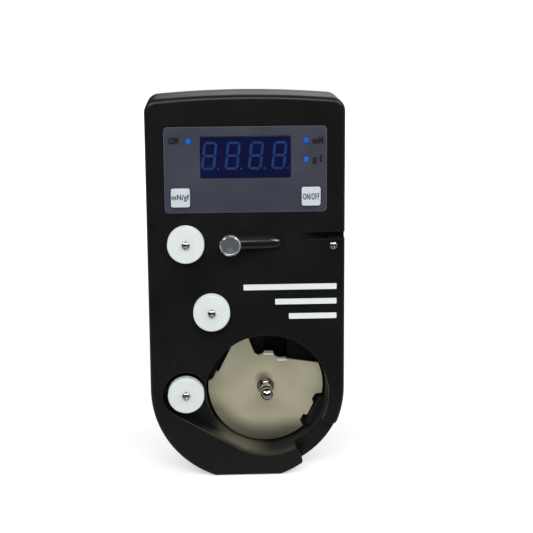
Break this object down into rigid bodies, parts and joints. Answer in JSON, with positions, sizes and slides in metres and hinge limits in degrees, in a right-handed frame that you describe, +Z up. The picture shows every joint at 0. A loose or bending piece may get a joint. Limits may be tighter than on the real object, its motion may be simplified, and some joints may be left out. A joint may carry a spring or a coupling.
{
  "type": "bobbin tension gauge",
  "caption": "Hand-held digital gauge with a half-round base: thread runs from a bobbin case on a spindle plate over grooved pulleys, one of them on a load cell.",
  "frame": {"origin": "under the middle of the whole gauge, on the surface that it stands on", "axes": "+Z up along the housing, +X to the right seen from the face, +Y from the face to the rear"},
  "size_m": [0.066, 0.034, 0.131],
  "materials": {
    "black_shell": "satin moulded ABS",
    "grey_panel": "printed film",
    "blue_window": "tinted pane",
    "white_key": "moulded key",
    "blue_lamp": "indicator lens",
    "white_pulley": "turned white acetal",
    "bright_steel": "polished nickel-plated steel",
    "plate_steel": "satin nickel-plated sheet",
    "turned_alloy": "turned face",
    "green_board": "circuit board laminate",
    "black_chip": "moulded",
    "module_case": "moulded",
    "cell_jacket": "plain jacket",
    "nickel_contact": "nickel-plated spring steel"
  },
  "bodies": {
    "housing": {"front_cover": "black_shell", "rear_cover": "black_shell", "thread_guide_arm": "black_shell", "front_panel": "grey_panel", "display_window": "blue_window", "low_battery_lamp": "blue_lamp", "millinewton_lamp": "blue_lamp", "gram_force_lamp": "blue_lamp", "upper_axle": "bright_steel", "sensing_axle": "bright_steel", "lower_axle": "bright_steel", "spindle": "bright_steel", "spindle_nut": "bright_steel", "cutter_blade": "bright_steel", "cutter_screw": "bright_steel", "load_cell_screw_1": "bright_steel", "load_cell_screw_2": "bright_steel", "board_screw_1": "bright_steel", "board_screw_2": "bright_steel", "board_screw_3": "bright_steel", "board_screw_4": "bright_steel", "housing_screw_1": "bright_steel", "housing_screw_2": "bright_steel", "housing_screw_3": "bright_steel", "housing_screw_4": "bright_steel", "bobbin_case_plate": "plate_steel", "thread_guide_cap": "turned_alloy", "load_cell": "turned_alloy", "main_board": "green_board", "controller_chip": "black_chip", "display_module": "module_case", "unit_switch": "module_case", "power_switch": "module_case", "battery_1": "cell_jacket", "battery_2": "cell_jacket", "flat_contact_1": "nickel_contact", "flat_contact_2": "nickel_contact", "spring_contact_1": "nickel_contact", "spring_contact_2": "nickel_contact"},
    "battery_door": {"battery_door": "black_shell"},
    "lower_pulley": {"lower_pulley": "white_pulley"},
    "power_key": {"power_key": "white_key"},
    "power_plunger": {"power_plunger": "black_chip"},
    "sensing_pulley": {"sensing_pulley": "white_pulley"},
    "unit_key": {"unit_key": "white_key"},
    "unit_plunger": {"unit_plunger": "black_chip"},
    "upper_pulley": {"upper_pulley": "white_pulley"}
  },
  "joints": [
    {"name": "upper_pulley_spin", "type": "hinge", "parent": "housing", "child": "upper_pulley", "pos_m": [-0.02015, -0.0103, 0.0819], "axis": [0, 1, 0], "continuous": true},
    {"name": "sensing_pulley_spin", "type": "hinge", "parent": "housing", "child": "sensing_pulley", "pos_m": [-0.0119, -0.0103, 0.0586], "axis": [0, 1, 0], "continuous": true},
    {"name": "lower_pulley_spin", "type": "hinge", "parent": "housing", "child": "lower_pulley", "pos_m": [-0.021, -0.0079, 0.0294], "axis": [0, 1, 0], "continuous": true},
    {"name": "unit_key_press", "type": "slide", "parent": "housing", "child": "unit_key", "axis": [0, 1, 0], "range_m": [0, 0.00035], "stiffness_N_per_m": 800, "springref_m": -0.0004},
    {"name": "unit_plunger_press", "type": "slide", "parent": "housing", "child": "unit_plunger", "axis": [0, 1, 0], "range_m": [0, 0.00035]},
    {"name": "power_key_press", "type": "slide", "parent": "housing", "child": "power_key", "axis": [0, 1, 0], "range_m": [0, 0.00035], "stiffness_N_per_m": 800, "springref_m": -0.0004},
    {"name": "power_plunger_press", "type": "slide", "parent": "housing", "child": "power_plunger", "axis": [0, 1, 0], "range_m": [0, 0.00035]},
    {"name": "battery_door_slide", "type": "slide", "parent": "housing", "child": "battery_door", "axis": [0, 0, 1], "range_m": [0, 0.036]}
  ],
  "couplings": [
    {"joint": "unit_plunger_press", "follows": "unit_key_press", "ratio": 1},
    {"joint": "power_plunger_press", "follows": "power_key_press", "ratio": 1}
  ]
}
